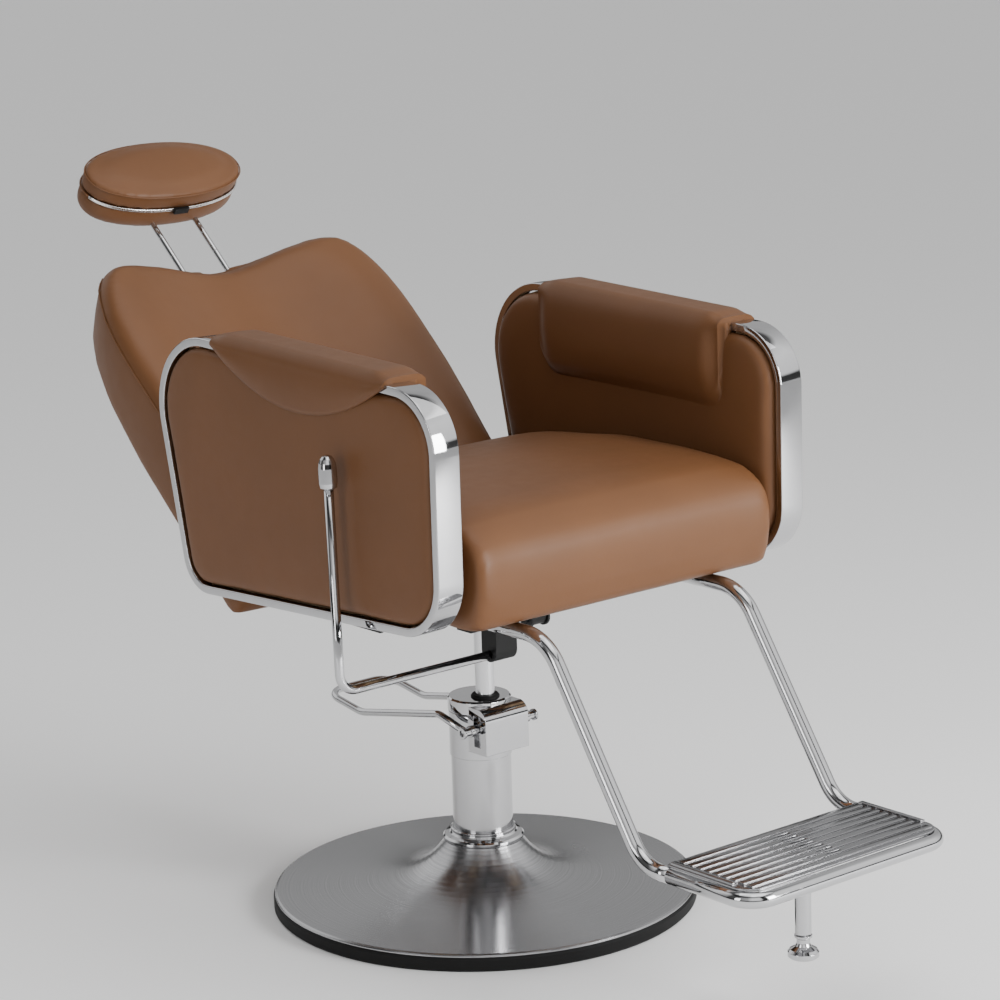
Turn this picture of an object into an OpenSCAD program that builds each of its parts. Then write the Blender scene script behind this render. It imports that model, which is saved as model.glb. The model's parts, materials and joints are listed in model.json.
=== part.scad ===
// Hydraulic barber chair: round pump base, lifting ram, swivelling seat with looped arms,
// reclining back, sliding and tilting headrest, footrest, pump pedal and recline lever.
// Millimetres. The sitter faces -Y, +X is the sitter's left, +Z is up. The origin is on the
// floor at the centre of the base. Shown with the back reclined.

/* [Base and pump] */
// Radius of the base cover
base_r = 310; // [280:5:340]
// Height of the collar's underside, where the base cover ends
cover_top = 92; // [80:1:110]
// Outer radius of the column sleeve
column_r = 44; // [40:1:50]
// Top of the column sleeve
column_top = 222; // [200:1:240]
// Top of the pump casting
cap_top = 310; // [290:1:320]
// Radius of the lifting ram
ram_r = 14; // [12:0.5:16]
// How far the ram stands in front of the column's axis
ram_forward = 14; // [0:1:16]

/* [Pedal] */
// Height of the pedal's pin
pedal_z = 273; // [265:1:280]
// Distance of the pedal's pin in front of the column's axis
pedal_forward = 42; // [40:1:44]
// Half distance between the pedal's two arms
pedal_half = 60; // [56:1:66]
// How far behind the column's axis the pedal reaches
pedal_reach = 292; // [270:1:310]
// Diameter of the pedal's rod
pedal_d = 11; // [9:0.5:12]

/* [Seat] */
// Height of the seat's underside
seat_z = 512; // [505:1:520]
// Half width of the seat cushion
seat_half = 276; // [260:1:277]
// Height of the seat's highest line
seat_top = 662; // [640:1:680]

/* [Arms] */
// Outer half width over the arm loops
arm_half = 334; // [325:1:345]
// Width of the arm loop's flat bar
bar_w = 42; // [38:1:44]
// Thickness of the arm loop's flat bar
bar_t = 12; // [10:1:13]
// Inner face of the arm's inner pad
arm_inner = 280; // [279:1:284]

/* [Footrest] */
// Half distance between the footrest's side tubes
tube_half = 180; // [170:1:190]
// Diameter of the footrest's tubes
tube_d = 22; // [19:1:25]
// Height of the footrest loop's centre line
loop_z = 226; // [215:1:240]
// Distance from the axis of the column to the front of the footrest loop's centre line
loop_front = 746; // [720:1:770]

/* [Back] */
// Recline of the back from upright, as drawn
recline = 48.7; // [20:0.1:55]
// Distance of the recline pin behind the column's axis
hinge_y = 240; // [235:1:245]
// Height of the recline pin
hinge_z = 582; // [578:1:586]
// Length of the back above the recline pin
back_up = 488; // [480:1:500]
// Length of the back below the recline pin
back_down = 79; // [70:1:85]
// Depth of the hollow in the front of the back
back_hollow = 40; // [20:1:45]

/* [Headrest] */
// Half length of the headrest
head_half = 141; // [120:1:150]
// Half height of the headrest
head_high = 66; // [55:1:75]
// Thickness of the headrest in front of its chrome line
head_front = 33; // [28:1:38]
// Thickness of the headrest behind its chrome line
head_rear = 47; // [45:1:52]
// Half distance between the headrest's rods
rod_half = 40; // [35:1:45]
// Diameter of the headrest's rods
rod_d = 9; // [8:0.5:10]

/* [Recline lever] */
// Distance of the lever's upright from the middle of the chair
lever_half = 362; // [356:1:370]
// Height of the lever's upright above its shaft
lever_high = 326; // [300:1:340]
// Diameter of the lever's rod
lever_d = 13; // [11:0.5:14]

/* [Hidden] */

fit = 0.06;                       // radial running clearance of every shaft in its bore
$fn = 72;
ram_y = -ram_forward;
pedal_y = -pedal_forward;
plate_z = 481;                    // underside of the seat's mounting plate
plate_t = 6;
rail = 25;                        // side of the seat frame's square tube
rail_z = plate_z + plate_t;
rail_x = 100;                     // half distance between the lengthwise rails
rail_front_y = -110;
rail_rear_y = 60;
board_t = 14;
board_rear = 150;
wall_x = 269;                     // inner face of the fixed hinge plate
hinge_plate = 5;
pin_r = 8;                        // recline pin
lever_y = -150;
lever_z = 418;
lever_lean = 1.6;
gas_x = 60;                       // the gas spring lies beside the middle of the chair
gas_y = -60;
gas_z = 425;
gas_swing = 60;                   // distance of the gas spring's upper pin from the recline pin
gas_angle = -102;                 // direction of that pin from the recline pin
gas_end = [hinge_y + gas_swing * cos(gas_angle), hinge_z + gas_swing * sin(gas_angle)];
gas_len = norm(gas_end - [gas_y, gas_z]);
gas_slope = atan2(gas_end.y - gas_z, gas_end.x - gas_y);
// Back, measured from the recline pin: local z runs up the back, local y towards its rear
front_y = -25;                    // front of the side wings
rod_y = 52;                       // plane of the headrest's rods
panel_y = 43;                     // plane where the cushion meets the rear shell
board_y = 36;
tube = 18;                        // side of the back frame's square tube
guide_low = 370;
guide_top = 470;
// Headrest, measured from its tilt axis
rod_reach = 650;                  // distance of the tilt axis up the rods from the recline pin
head_lean = 7;                    // lean of the headrest beyond the rods
head_up = 14;                     // centre of the headrest above the tilt axis
head_out = 23;                    // chrome line in front of the tilt axis
// Outline of an arm loop, in y and z, seen from the side
arm_corners = [[-334, 842], [319, 864], [241, 486], [-334, 515]];
arm_radii = [85, 110, 55, 80];
arm_slope = atan2(864 - 842, 319 + 334);
pad_front = -237;
pad_rear = 155;

function unit(v) = v / norm(v);
function wrap(a) = a - 360 * round(a / 360);
function at(list, i) = list[(i + len(list)) % len(list)];
function heading(a, b) = atan2(b.y - a.y, b.x - a.x);
// Distance from a corner to the point where its fillet starts
function setback(a, p, b, r) = r * tan(abs(wrap(heading(p, b) - heading(a, p))) / 2);
function bisector(a, p, b) = unit(unit(a - p) + unit(b - p));
function half_angle(a, p, b) = acos(unit(a - p) * unit(b - p)) / 2;
function inset(pts, t) = [for (i = [0:len(pts) - 1])
    let (a = at(pts, i - 1), p = pts[i], b = at(pts, i + 1))
    p + bisector(a, p, b) * t / sin(half_angle(a, p, b))];
function fillet(a, p, b, r, n) =
    let (c = p + bisector(a, p, b) * r / sin(half_angle(a, p, b)),
         s = p + unit(a - p) * setback(a, p, b, r),
         e = p + unit(b - p) * setback(a, p, b, r),
         s_deg = heading(c, s),
         turn = wrap(heading(c, e) - s_deg))
    [for (i = [0:n]) c + r * [cos(s_deg + turn * i / n), sin(s_deg + turn * i / n)]];
function rounded(pts, radii, n = 8) = [for (i = [0:len(pts) - 1])
    each fillet(at(pts, i - 1), pts[i], at(pts, i + 1), radii[i], n)];
function arm_inset(t) = rounded(inset(arm_corners, t), [for (r = arm_radii) r - t]);

// Lays a side view drawn in x and y onto the chair's y and z, with thickness along +X
module side_view(x = 0) {
    translate([x, 0, 0]) rotate([90, 0, 90]) children();
}

module both_sides() {
    children();
    mirror([1, 0, 0]) children();
}

// Bends a round rod along straight lines joined by true arcs, in the xy plane. A short ring,
// a hair wider than the rod, is welded around each place where a bend starts or ends.
module bent_rod(pts, radii, d) {
    last = len(pts) - 1;
    gap = 0.4;
    ring = 2.4;
    cut = [for (i = [0:last]) (i > 0 && i < last)
        ? setback(pts[i - 1], pts[i], pts[i + 1], radii[i]) + gap : 0];
    for (i = [0:last - 1]) {
        u = unit(pts[i + 1] - pts[i]);
        translate(pts[i] + u * cut[i]) rotate([0, 0, heading(pts[i], pts[i + 1])])
            rotate([0, 90, 0]) cylinder(h = norm(pts[i + 1] - pts[i]) - cut[i] - cut[i + 1], d = d);
    }
    for (i = [1:1:last - 1]) {
        come = heading(pts[i - 1], pts[i]);
        go = heading(pts[i], pts[i + 1]);
        turn = wrap(go - come);
        side = sign(turn);
        start = pts[i] - (cut[i] - gap) * [cos(come), sin(come)];
        end = pts[i] + (cut[i] - gap) * [cos(go), sin(go)];
        centre = start + radii[i] * side * [-sin(come), cos(come)];
        translate(centre) rotate([0, 0, side > 0 ? come - 90 : come + turn + 90])
            rotate_extrude(angle = abs(turn), $fn = 96) translate([radii[i], 0]) circle(d = d);
        translate(start) rotate([0, 0, come]) weld_ring(d, ring);
        translate(end) rotate([0, 0, go]) weld_ring(d, ring);
    }
}

module weld_ring(d, length) {
    rotate([0, 90, 0]) cylinder(h = length, d = d + 0.3, center = true);
}

module along_x(x0, x1, r, y, z) {
    translate([x0, y, z]) rotate([0, 90, 0]) cylinder(h = x1 - x0, r = r);
}

// Moves the back's own frame onto the chair
module on_back() {
    translate([0, hinge_y, hinge_z]) rotate([-recline, 0, 0]) children();
}

// Moves the headrest's own frame, centred on its chrome line and facing -y, onto the chair
module on_headrest() {
    on_back() translate([0, rod_y, rod_reach]) rotate([-head_lean, 0, 0])
        translate([0, -head_out, head_up]) children();
}

// Moves the gas spring's own frame, with z along the rod, onto the chair
module on_gas() {
    translate([gas_x, gas_y, gas_z]) rotate([gas_slope - 90, 0, 0]) children();
}

module hex_bolt(head, shank, d) {
    cylinder(h = head, r = d * 0.85, $fn = 6);
    cylinder(h = head + shank, d = d);
}

// ---- Base and pump ----

function cover_z(r) = 25 + 15 * (1 - r / base_r)
    + (cover_top - 37.5) * exp(-(r - 58) / 36);

module base_cover() {
    steps = 22;
    skin = 3;
    ring = [for (i = [0:steps]) 58 + (base_r - 62) * pow(i / steps, 1.6)];
    color("silver") rotate_extrude($fn = 144) polygon(concat(
        [for (r = ring) [r, cover_z(r)]],
        [[base_r - 1, cover_z(base_r) - 1.2], [base_r, cover_z(base_r) - 2.5], [base_r, 21.2],
         [base_r - 4, 21.2]],
        [for (i = [steps:-1:0]) [ring[i] - 1.5, cover_z(ring[i]) - skin]]));
}

module base_plate() {
    color("dimgray") difference() {
        cylinder(h = 12, r = base_r - 18, $fn = 144);
        for (a = [45:90:315]) rotate([0, 0, a]) translate([70, 0, 3]) cylinder(h = 20, r = 5);
    }
}

module base_ring() {
    inner = base_r - 14;
    outer = base_r + 2;
    color("#1a1a1a") rotate_extrude($fn = 144) polygon([[inner, 0], [outer - 3, 0], [outer, 3],
        [outer, 17], [outer - 3, 20.8], [inner + 2, 20.8], [inner, 18]]);
}

module base_collar() {
    low = cover_top + 0.3;
    color("silver") rotate_extrude($fn = 96) polygon([[column_r + 0.3, low], [58, low],
        [59.5, low + 2], [59.5, low + 5], [57, low + 8], [50, low + 10], [48, low + 13],
        [48, low + 17], [46.5, low + 18], [column_r + 0.3, low + 18]]);
}

module column_sleeve() {
    color("silver") translate([0, 0, 20.2]) difference() {
        cylinder(h = column_top - 20.2, r = column_r, $fn = 96);
        translate([0, 0, -1]) cylinder(h = column_top, r = column_r - 4, $fn = 96);
    }
}

module column_flange() {
    color("dimgray") difference() {
        union() {
            translate([0, 0, 12]) cylinder(h = 8, r = 90);
            for (a = [45:90:315]) rotate([0, 0, a]) translate([70, 0, 28]) mirror([0, 0, 1])
                hex_bolt(8, 16, 9.8);
        }
        translate([0, ram_y, 11]) cylinder(h = 10, r = 20.2);
    }
}

module pump_cylinder() {
    color("gray") translate([0, ram_y, 12.2]) difference() {
        cylinder(h = column_top - 12.2, r = 20);
        translate([0, 0, 8]) cylinder(h = column_top, r = 17);
    }
}

// Casting on top of the column, with the pedal's pin housing on its front
module pump_cap() {
    box_half = 40;
    box_front = -62;
    box_low = 236;
    box_high = 303;
    round_r = 18;
    color("silver") difference() {
        union() {
            translate([0, 0, column_top]) cylinder(h = 66, r = column_r + 1.5, $fn = 96);
            translate([0, 0, column_top + 66]) rotate_extrude($fn = 96)
                polygon([[0, 0], [column_r, 0], [column_r + 2.5, 2.5],
                    [column_r + 2.5, cap_top - column_top - 68.5],
                    [column_r, cap_top - column_top - 66], [0, cap_top - column_top - 66]]);
            side_view(-box_half) linear_extrude(2 * box_half) union() {
                translate([box_front, box_low]) square([44, box_high - box_low - round_r]);
                translate([box_front + round_r, box_low])
                    square([44 - round_r, box_high - box_low]);
                translate([box_front + round_r, box_high - round_r]) circle(round_r);
            }
        }
        translate([0, ram_y, column_top - 1]) cylinder(h = 100, r = ram_r + fit);
        along_x(-60, 60, 6 + fit, pedal_y, pedal_z);
        // Recess beside the pin on the near side of the housing
        translate([-box_half - 1, -49, 246]) cube([12, 15, 46]);
    }
}

module ram_seal() {
    color("#1a1a1a") translate([0, ram_y, cap_top]) difference() {
        rotate_extrude() polygon([[0, 0], [21, 0], [21, 1.5], [19, 4], [0, 4]]);
        translate([0, 0, -1]) cylinder(h = 8, r = ram_r + fit);
    }
}

module ram() {
    color("lightgray") translate([0, ram_y, 118]) union() {
        cylinder(h = 357, r = ram_r);
        translate([0, 0, 357]) cylinder(h = 2, r1 = ram_r, r2 = ram_r - 2);
    }
}

module ram_piston() {
    color("gray") translate([0, ram_y, 100]) difference() {
        cylinder(h = 18, r = 17 - fit);
        for (z = [4, 11]) translate([0, 0, z]) rotate_extrude() translate([15.5, 0]) square([3, 3]);
    }
}

// ---- Pedal ----

module pedal_loop() {
    arm = [[pedal_y, pedal_z], [20, 288], [205, 252], [250, 259]];
    bend = arm[3];                  // where each arm's side view ends, in line with the loop's end
    rise = heading(arm[2], bend);
    end_len = (pedal_reach - bend.x) / cos(rise);
    color("silver") union() {
        both_sides() side_view(pedal_half) bent_rod(arm, [0, 30, 60, 0], pedal_d, $fn = 32);
        translate([0, bend.x, bend.y]) rotate([rise, 0, 0]) {
            bent_rod([[-pedal_half, 0.4], [-pedal_half, end_len], [pedal_half, end_len],
                [pedal_half, 0.4]], [0, 32, 32, 0], pedal_d, $fn = 32);
            both_sides() translate([pedal_half, 0, 0]) rotate([0, 0, 90])
                weld_ring(pedal_d, 2.4);
        }
    }
}

module pedal_pin() {
    socket = 5.2;
    color("silver") difference() {
        union() {
            along_x(-pedal_half - 9, pedal_half + 9, 6, pedal_y, pedal_z);
            both_sides() along_x(47, pedal_half - 5.6, 8.5, pedal_y, pedal_z);
            both_sides() along_x(pedal_half + 5.6, pedal_half + 9, 8.5, pedal_y, pedal_z);
        }
        both_sides() along_x(pedal_half + 4, pedal_half + 10, socket, pedal_y, pedal_z, $fn = 6);
        both_sides() side_view(pedal_half) bent_rod([[pedal_y, pedal_z], [20, 288]], [0, 0],
            pedal_d, $fn = 32);
    }
}

// ---- Seat ----

module swivel_socket() {
    hub_z = 436;
    color("#262626") difference() {
        translate([0, ram_y, hub_z]) rotate_extrude() polygon([[0, 0], [24, 0], [26, 2],
            [26, 30], [34, 38], [50, 38], [50, plate_z - hub_z], [0, plate_z - hub_z]]);
        translate([0, ram_y, hub_z - 1]) cylinder(h = 43, r = ram_r + fit);
    }
}

module seat_plate() {
    color("#262626") difference() {
        translate([-120, -190, plate_z]) cube([240, 240, plate_t]);
        for (x = [-rail_x, rail_x], y = [-90, 30]) translate([x, y, plate_z - 1])
            cylinder(h = plate_t + 2, r = 4.5);
    }
}

module plate_bolts() {
    color("silver") for (x = [-rail_x, rail_x], y = [-90, 30])
        translate([x, y, plate_z - 6]) hex_bolt(6, plate_t + 16, 8);
}

module seat_frame() {
    color("#262626") difference() {
        union() {
            for (x = [-rail_x, rail_x]) translate([x - rail / 2, -232, rail_z])
                cube([rail, 352, rail]);
            translate([-286, rail_front_y - rail / 2, rail_z]) cube([572, rail, rail]);
            translate([-wall_x, rail_rear_y - rail / 2, rail_z]) cube([2 * wall_x, rail, rail]);
        }
        for (x = [-rail_x, rail_x], y = [-90, 30]) translate([x, y, rail_z - 1])
            cylinder(h = 18, r = 4.05);
    }
}

module seat_board() {
    color("burlywood") translate([-245, -285, seat_z]) cube([490, board_rear + 285, board_t]);
}

// Cushion section along y: waterfall front, level top, rear face that clears the back
module seat_cushion() {
    low = seat_z;
    top = seat_top;
    color("#8a6046") difference() {
        side_view(-seat_half) linear_extrude(2 * seat_half) polygon([[-316, low],
            [-334, low + 18], [-345, low + 50], [-345, low + 86], [-337, low + 110],
            [-318, top - 22], [-285, top - 10], [-200, top - 2], [-60, top], [60, top - 10],
            [200, top - 32], [212, top - 40], [152, low + 40], [147, low]]);
        translate([-246, -286, low - 1]) cube([492, board_rear + 286.5, board_t + 1.5]);
        both_sides() translate([wall_x - 3, 120, low - 1]) cube([20, 200, 200]);
    }
}

module lever_bracket() {
    color("#161616") difference() {
        union() {
            translate([-102, lever_y - 16, lever_z + 6]) cube([38, 32, plate_z - lever_z - 6]);
            side_view(-102) linear_extrude(38) translate([lever_y, lever_z + 6]) circle(16);
        }
        along_x(-120, -40, lever_d / 2 + fit, lever_y, lever_z);
    }
}

module gas_bracket() {
    color("#262626") union() {
        for (x = [gas_x - 17, gas_x + 13]) side_view(x) linear_extrude(4) difference() {
            union() {
                translate([gas_y - 14, gas_z]) square([28, plate_z - gas_z]);
                translate([gas_y, gas_z]) circle(14);
            }
            translate([gas_y, gas_z]) circle(5);
        }
        along_x(gas_x - 20, gas_x + 20, 5, gas_y, gas_z);
    }
}

// Fixed hinge plates: a strap along the rear rail's end, rising to the recline pin
module hinge_brackets() {
    color("#262626") both_sides() side_view(wall_x) linear_extrude(hinge_plate) difference() {
        union() {
            translate([20, rail_z]) square([130, rail]);
            polygon([[118, rail_z], [150, rail_z], [hinge_y + 12, hinge_z - 16],
                [hinge_y - 16, hinge_z + 12], [118, rail_z + rail]]);
            translate([hinge_y, hinge_z]) circle(20);
        }
        translate([hinge_y, hinge_z]) circle(pin_r);
    }
}

module hinge_pins() {
    color("silver") both_sides() union() {
        along_x(261, wall_x + hinge_plate, pin_r, hinge_y, hinge_z);
        along_x(wall_x + hinge_plate, wall_x + hinge_plate + 4, 13, hinge_y, hinge_z);
    }
}

// ---- Arms, drawn on the sitter's left at +X ----

module arm_frame() {
    color("silver") side_view(arm_half - bar_w) linear_extrude(bar_w) difference() {
        polygon(rounded(arm_corners, arm_radii, 14));
        polygon(rounded(inset(arm_corners, bar_t), [for (r = arm_radii) r - bar_t], 14));
    }
}

module arm_outer() {
    color("#70523a") side_view(arm_half - 20) linear_extrude(17) polygon(arm_inset(bar_t + 1.5));
}

module arm_core() {
    color("burlywood") side_view(arm_half - 32) linear_extrude(12) difference() {
        polygon(arm_inset(bar_t + 1.5));
        for (y = [-130, -60, 0]) translate([y, 530]) circle(4.05);
    }
}

// Inner pad, cut away low down where the arm's steel bracket is bolted on
module arm_inner_pad() {
    color("#70523a") side_view(arm_inner) linear_extrude(arm_half - 32 - arm_inner) difference() {
        polygon(arm_inset(bar_t + 1.5));
        translate([-400, 400]) square([800, 150]);
    }
}

module arm_bracket() {
    gap = arm_half - 32 - 291.5;
    color("#262626") union() {
        translate([286, -150, rail_z]) cube([5.5, 170, 58]);
        for (y = [-130, -60, 0]) {
            along_x(281.5, 286, 7, y, 530);
            along_x(291.5, 291.5 + gap, 8, y, 530);
            along_x(286, arm_half - 22, 4, y, 530);
        }
    }
}

// Padded cover folded over the top of the loop: a top strip, a half-moon flap outside and a
// deep padded flap inside
module arm_pad() {
    span = pad_rear - pad_front;
    middle = (pad_front + pad_rear) / 2;
    top_z = 842 + (middle + 334) * tan(arm_slope);
    inner_x = 264;
    drop = 62;
    moon_r = (span * span / 4 + drop * drop) / (2 * drop);
    color("#8a6046") union() {
        side_view(inner_x) linear_extrude(arm_half + 4.5 - inner_x) translate([middle, top_z])
            rotate(arm_slope) polygon([[-span / 2, 0.3], [span / 2, 0.3], [span / 2, 8],
                [span / 2 - 6, 13], [-span / 2 + 6, 13], [-span / 2, 8]]);
        side_view(arm_half + 0.3) linear_extrude(4.2) translate([middle, top_z]) rotate(arm_slope)
            intersection() {
                translate([0, moon_r - drop]) circle(moon_r, $fn = 180);
                translate([-span / 2, -100]) square([span, 103]);
            }
        side_view(inner_x) linear_extrude(arm_inner - 0.5 - inner_x)
            polygon(rounded([[pad_front + 4, top_z + 3], [pad_rear - 2, top_z + 12],
                [pad_rear - 20, 722], [pad_front + 14, 716]], [2, 2, 34, 34]));
    }
}

// ---- Footrest ----

module footrest_tube() {
    color("silver") side_view(tube_half) bent_rod([[rail_front_y - rail / 2 - 0.2, 499],
        [-364, 499], [-546, loop_z], [-598, loop_z]], [0, 75, 60, 0], tube_d, $fn = 48);
}

module footrest_loop() {
    color("silver") translate([0, 0, loop_z]) bent_rod([[-tube_half, -598.3],
        [-tube_half, -loop_front], [tube_half, -loop_front], [tube_half, -598.3]],
        [0, 34, 34, 0], tube_d, $fn = 48);
}

module footrest_plate() {
    low = loop_z + tube_d / 2 + 0.2;
    rear = -590;
    front = -742;
    rib = 11;
    ribs = 9;
    pitch = (rear - front - 16 - rib) / (ribs - 1);
    color("silver") difference() {
        union() {
            translate([0, 0, low]) linear_extrude(3) polygon(rounded([[-180, rear], [-180, front],
                [180, front], [180, rear]], [6, 30, 30, 6]));
            for (i = [0:ribs - 1]) translate([-166, front + 8 + i * pitch, low + 2])
                cube([332, rib, 3.5]);
            for (x = [-178, 170]) translate([x, front + 32, low + 2])
                cube([8, rear - front - 38, 4.5]);
        }
        for (i = [1:ribs - 2]) translate([-14, front + 8 + i * pitch + 3, low - 1])
            cube([28, 5, 10]);
    }
}

module footrest_clamps() {
    color("#262626") both_sides() difference() {
        translate([tube_half - 20, -232, 484]) cube([40, 30, seat_z - 484]);
        translate([tube_half, -240, 499]) rotate([-90, 0, 0])
            cylinder(h = 50, r = tube_d / 2 + 0.05);
    }
}

module foot_pole() {
    top = loop_z + tube_d / 2 + 0.2;
    color("silver") translate([0, -658, 117]) difference() {
        cylinder(h = top - 117, r = 11);
        translate([0, 0, -1]) cylinder(h = 60, r = 5 + fit);
    }
}

module foot_bell() {
    color("silver") translate([0, -658, 84]) union() {
        rotate_extrude() polygon([[0, 0], [19, 0], [21, 2], [21, 8], [18, 12], [11, 16],
            [9, 20], [9, 26], [12, 28], [12, 31], [0, 31]]);
        cylinder(h = 70, r = 5);
    }
}

// ---- Back ----

// Outline of the back seen from the front: waisted low down, two shoulders and a dip between
module back_outline() {
    side = [[232, -back_down], [244, -back_down + 14], [257, 60], [264, 120], [270, 190],
        [272, 290], [266, 385], [254, 425], [236, 458], [205, back_up - 10], [165, back_up - 2]];
    middle = [[80, back_up - 8], [0, back_up - 18], [-80, back_up - 8]];
    polygon(concat(side, middle, [for (i = [len(side) - 1:-1:0]) [-side[i].x, side[i].y]]));
}

// Cavities that the steel frame, its side ties and the gas spring's end need
module back_cavities() {
    translate([-134, panel_y - 0.3, -back_down - 1]) cube([268, tube + 0.9, 461 + back_down]);
    translate([-300, panel_y - 0.3, 50.5]) cube([600, tube + 0.9, 19]);
    translate([gas_x - 20, -60, -back_down - 1]) cube([40, 145, 62]);
    translate([gas_x - 15, 20, -20]) cube([30, 60, 21]);
    for (x = [-rod_half, rod_half]) translate([x, rod_y, guide_top + 2]) cylinder(h = 40, r = 12.6);
}

module back_cushion() {
    hollow_half = 240;
    hollow_r = (hollow_half * hollow_half + back_hollow * back_hollow) / (2 * back_hollow);
    color("#7a563a") on_back() difference() {
        intersection() {
            translate([0, panel_y - 0.3, 0]) rotate([90, 0, 0])
                linear_extrude(panel_y - front_y) back_outline();
            side_view(-300) linear_extrude(600) polygon([[front_y + 14, -back_down],
                [front_y, -back_down + 16], [front_y, back_up - 60],
                [front_y + 8, back_up - 26], [front_y + 26, back_up - 4],
                [front_y + 40, back_up], [panel_y, back_up], [panel_y, -back_down]]);
        }
        translate([0, front_y + back_hollow - hollow_r, -200]) cylinder(h = 900, r = hollow_r,
            $fn = 360);
        translate([-201, board_y - 0.3, 1]) cube([402, 20, 440]);
        back_cavities();
    }
}

module back_shell() {
    color("#6a4a33") on_back() difference() {
        intersection() {
            side_view(-300) linear_extrude(600) polygon([[panel_y, -back_down],
                [118, -back_down], [126, -back_down + 12], [114, 200], [94, 405],
                [86, back_up - 26], [72, back_up - 16], [panel_y, back_up - 16]]);
            translate([0, 200, 0]) rotate([90, 0, 0]) linear_extrude(200)
                polygon([[-252, -back_down], [-256, 24], [-264, 200], [-252, 380], [-222, 444],
                    [-170, 474], [170, 474], [222, 444], [252, 380], [264, 200], [256, 24],
                    [252, -back_down]]);
        }
        back_cavities();
        for (x = [-rod_half, rod_half]) translate([x, rod_y, 400]) cylinder(h = 120, r = 8.2);
    }
}

module back_board() {
    color("burlywood") on_back() translate([-200, board_y, 2])
        cube([400, panel_y - board_y - 0.3, 438]);
}

module back_frame() {
    color("#262626") on_back() difference() {
        union() {
            for (x = [-120, 120]) translate([x - tube / 2, panel_y, -60]) cube([tube, tube, 519]);
            for (z = [-8, 200, guide_low + 12, 450]) translate([-120, panel_y, z - tube / 2])
                cube([240, tube, tube]);
            translate([-262, panel_y, 60 - tube / 2]) cube([524, tube, tube]);
            for (x = [-rod_half, rod_half]) translate([x, rod_y, guide_low])
                cylinder(h = guide_top - guide_low, r = 8);
            for (x = [gas_x - 11, gas_x + 7]) translate([x, 26, -58]) cube([4, 35, 58]);
            along_x(gas_x - 14, gas_x + 14, 4.2, 35.8, -48.1);
        }
        for (x = [-rod_half, rod_half]) translate([x, rod_y, 300])
            cylinder(h = 200, r = rod_d / 2 + fit);
    }
}

// Moving hinge plates on the ends of the frame's side tie
module back_brackets() {
    color("#262626") on_back() both_sides() side_view(262) linear_extrude(hinge_plate)
        difference() {
            union() {
                circle(17);
                polygon([[-15, 8], [15, -8], [panel_y + tube, 48], [panel_y + tube, 74],
                    [panel_y - 6, 74]]);
            }
            circle(pin_r + fit);
        }
}

module rod_bezels() {
    color("#161616") on_back() for (x = [-rod_half, rod_half])
        translate([x, rod_y, guide_top + 2.2]) difference() {
            rotate_extrude() polygon([[0, 0], [12, 0], [12, 2], [9, 5], [0, 5]]);
            translate([0, 0, -1]) cylinder(h = 8, r = rod_d / 2 + fit);
        }
}

// ---- Headrest ----

module headrest_rods() {
    step = 40;
    groove = 1.2;
    low = 330;
    color("silver") on_back() for (x = [-rod_half, rod_half]) translate([x, rod_y, low]) union() {
        for (i = [0:6]) translate([0, 0, i * step]) {
            cylinder(h = step - groove, d = rod_d, $fn = 40);
            cylinder(h = step, d = rod_d - 1.2, $fn = 40);
        }
        translate([0, 0, 7 * step]) cylinder(h = rod_reach - low - 7 * step - 4.2, d = rod_d,
            $fn = 40);
    }
}

module headrest_crossbar() {
    color("gray") on_back() along_x(-55, 55, 4.2, rod_y, rod_reach);
}

function oval(grow) = [for (i = [0:47]) [(head_half + grow) * cos(i * 7.5),
    (head_high + grow) * sin(i * 7.5)]];

// A slice of the headrest's oval, from y0 to y1 in the headrest's frame
module head_slice(y0, y1, grow) {
    translate([0, y1, 0]) rotate([90, 0, 0]) linear_extrude(y1 - y0) polygon(oval(grow));
}

module headrest_front() {
    color("#6e4c30") on_headrest() union() {
        head_slice(-head_front + 7, -2, 0);
        head_slice(-head_front + 2, -head_front + 7, -4);
        head_slice(-head_front - 4, -head_front + 2, -14);
    }
}

module headrest_rear() {
    color("#6e4c30") on_headrest() difference() {
        union() {
            head_slice(2, head_rear - 14, 0);
            head_slice(head_rear - 14, head_rear - 5, -6);
            head_slice(head_rear - 5, head_rear, -18);
        }
        translate([-60, 7, -80]) cube([120, 33, 84]);
        // Slots that let the headrest tip back past its rods
        both_sides() translate([rod_half - 7, 30, -80]) cube([14, 30, 46]);
        along_x(-62, 62, 5, head_out, -head_up);
    }
}

module headrest_piping() {
    color("silver") on_headrest() difference() {
        head_slice(-1.8, 1.8, 1.5);
        head_slice(-3, 3, -6);
    }
}

module headrest_clip() {
    color("#161616") on_headrest() translate([-13, -5, -head_high - 7]) cube([26, 10, 5.3]);
}

// ---- Gas spring ----

module gas_cylinder() {
    color("#1c1c1c") on_gas() difference() {
        union() {
            rotate([0, 90, 0]) cylinder(h = 24, r = 11, center = true);
            cylinder(h = 20, r = 8);
            translate([0, 0, 14]) cylinder(h = 156, r = 11);
        }
        rotate([0, 90, 0]) cylinder(h = 60, r = 5 + fit, center = true);
        translate([0, 0, 22]) cylinder(h = 140, r = 9);
        translate([0, 0, 100]) cylinder(h = 100, r = 5 + fit);
    }
}

module gas_rod() {
    color("silver") on_gas() difference() {
        union() {
            translate([0, 0, 60]) cylinder(h = 8, r = 9 - fit);
            translate([0, 0, 60]) cylinder(h = gas_len - 70, r = 5);
            translate([0, 0, gas_len]) rotate([0, 90, 0]) cylinder(h = 10, r = 13.5, center = true);
        }
        translate([0, 0, gas_len]) rotate([0, 90, 0]) cylinder(h = 30, r = 9, center = true);
    }
}

// ---- Recline lever, on the sitter's right at -X ----

module on_lever() {
    translate([0, lever_y, lever_z]) rotate([90 - lever_lean, 0, 0]) children();
}

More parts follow.
